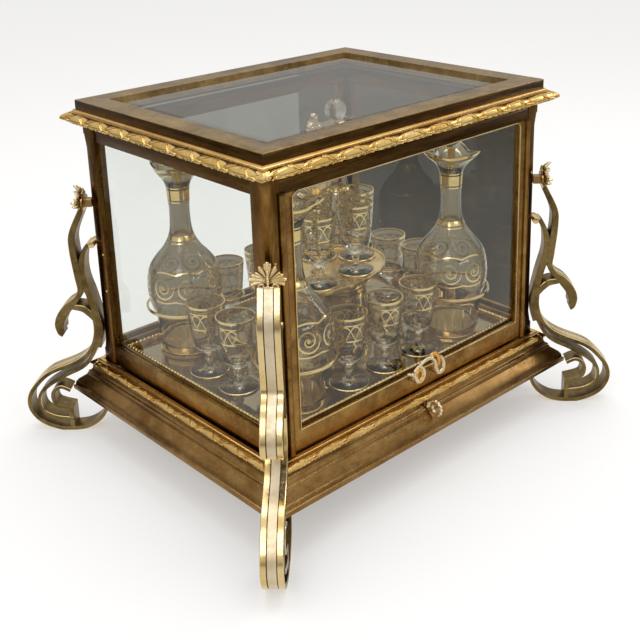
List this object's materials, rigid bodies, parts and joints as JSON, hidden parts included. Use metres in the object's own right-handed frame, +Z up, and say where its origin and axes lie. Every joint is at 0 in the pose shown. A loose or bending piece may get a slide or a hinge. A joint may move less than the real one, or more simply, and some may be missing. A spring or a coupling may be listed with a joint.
{
  "type": "liqueur cabinet",
  "caption": "Glazed gilt bronze cabinet on scroll legs with a top-hung glass door, lock and key, and a lift-out mirrored carrier of decanters and stemmed liqueur glasses.",
  "frame": {"origin": "on the ground under the middle of the case", "axes": "+X along the width to the viewer's right, +Y to the back, door on the -Y side, +Z up"},
  "size_m": [0.459, 0.3876, 0.334],
  "materials": {
    "bronze": "worn brown patina",
    "gilt_bronze": "gilt, chased",
    "polished_gilt": "polished fillets, matt centre",
    "pane_glass": "clear plate",
    "crystal": "clear blown, gilt lines",
    "mirror": "silvered plate"
  },
  "bodies": {
    "cabinet": {"base_plinth": "bronze", "base_moulding": "gilt_bronze", "floor_plate": "bronze", "corner_post_fl": "bronze", "corner_post_fr": "bronze", "corner_post_bl": "bronze", "corner_post_br": "bronze", "lower_frame": "bronze", "upper_frame": "bronze", "cornice_moulding": "gilt_bronze", "top_frame": "bronze", "top_glass": "pane_glass", "left_glass": "pane_glass", "right_glass": "pane_glass", "back_glass": "pane_glass", "leg_fl": "polished_gilt", "leg_fr": "polished_gilt", "leg_bl": "polished_gilt", "leg_br": "polished_gilt", "leg_leaf_fl": "gilt_bronze", "leg_leaf_fr": "gilt_bronze", "leg_leaf_bl": "gilt_bronze", "leg_leaf_br": "gilt_bronze", "lock_case": "bronze"},
    "door": {"door_frame": "bronze", "door_glass": "pane_glass", "door_handle": "gilt_bronze", "lock_keeper": "bronze"},
    "key": {"key": "gilt_bronze"},
    "lock_bolt": {"lock_bolt": "bronze"},
    "carrier": {"carrier_tray": "gilt_bronze", "mirror_plate": "mirror", "lower_rack": "gilt_bronze", "upper_platform": "bronze", "centre_handle": "gilt_bronze", "decanter_1": "crystal", "decanter_2": "crystal", "decanter_3": "crystal", "decanter_4": "crystal", "glass_01": "crystal", "glass_02": "crystal", "glass_03": "crystal", "glass_04": "crystal", "glass_05": "crystal", "glass_06": "crystal", "glass_07": "crystal", "glass_08": "crystal", "glass_09": "crystal", "glass_10": "crystal", "glass_11": "crystal", "glass_12": "crystal", "glass_13": "crystal", "glass_14": "crystal", "glass_15": "crystal", "glass_16": "crystal"},
    "stopper_1": {"stopper_1": "crystal"},
    "stopper_2": {"stopper_2": "crystal"},
    "stopper_3": {"stopper_3": "crystal"},
    "stopper_4": {"stopper_4": "crystal"}
  },
  "joints": [
    {"name": "door_hinge", "type": "hinge", "parent": "cabinet", "child": "door", "pos_m": [0, -0.127, 0.3071], "axis": [-1, 0, 0], "range_deg": [0, 90]},
    {"name": "key_turn", "type": "hinge", "parent": "cabinet", "child": "key", "pos_m": [0, -0.137, 0.0642], "axis": [0, -1, 0], "range_deg": [0, 92]},
    {"name": "bolt_slide", "type": "slide", "parent": "cabinet", "child": "lock_bolt", "axis": [0, 0, 1], "range_m": [0, 0.0045]},
    {"name": "carrier_lift", "type": "slide", "parent": "cabinet", "child": "carrier", "axis": [0, 0, 1], "range_m": [0, 0.004]},
    {"name": "stopper_1_lift", "type": "slide", "parent": "carrier", "child": "stopper_1", "axis": [0, 0, 1], "range_m": [0, 0.027]},
    {"name": "stopper_2_lift", "type": "slide", "parent": "carrier", "child": "stopper_2", "axis": [0, 0, 1], "range_m": [0, 0.027]},
    {"name": "stopper_3_lift", "type": "slide", "parent": "carrier", "child": "stopper_3", "axis": [0, 0, 1], "range_m": [0, 0.027]},
    {"name": "stopper_4_lift", "type": "slide", "parent": "carrier", "child": "stopper_4", "axis": [0, 0, 1], "range_m": [0, 0.027]}
  ],
  "couplings": [
    {"joint": "key_turn", "follows": "bolt_slide", "rad_per_m": 349.07}
  ]
}
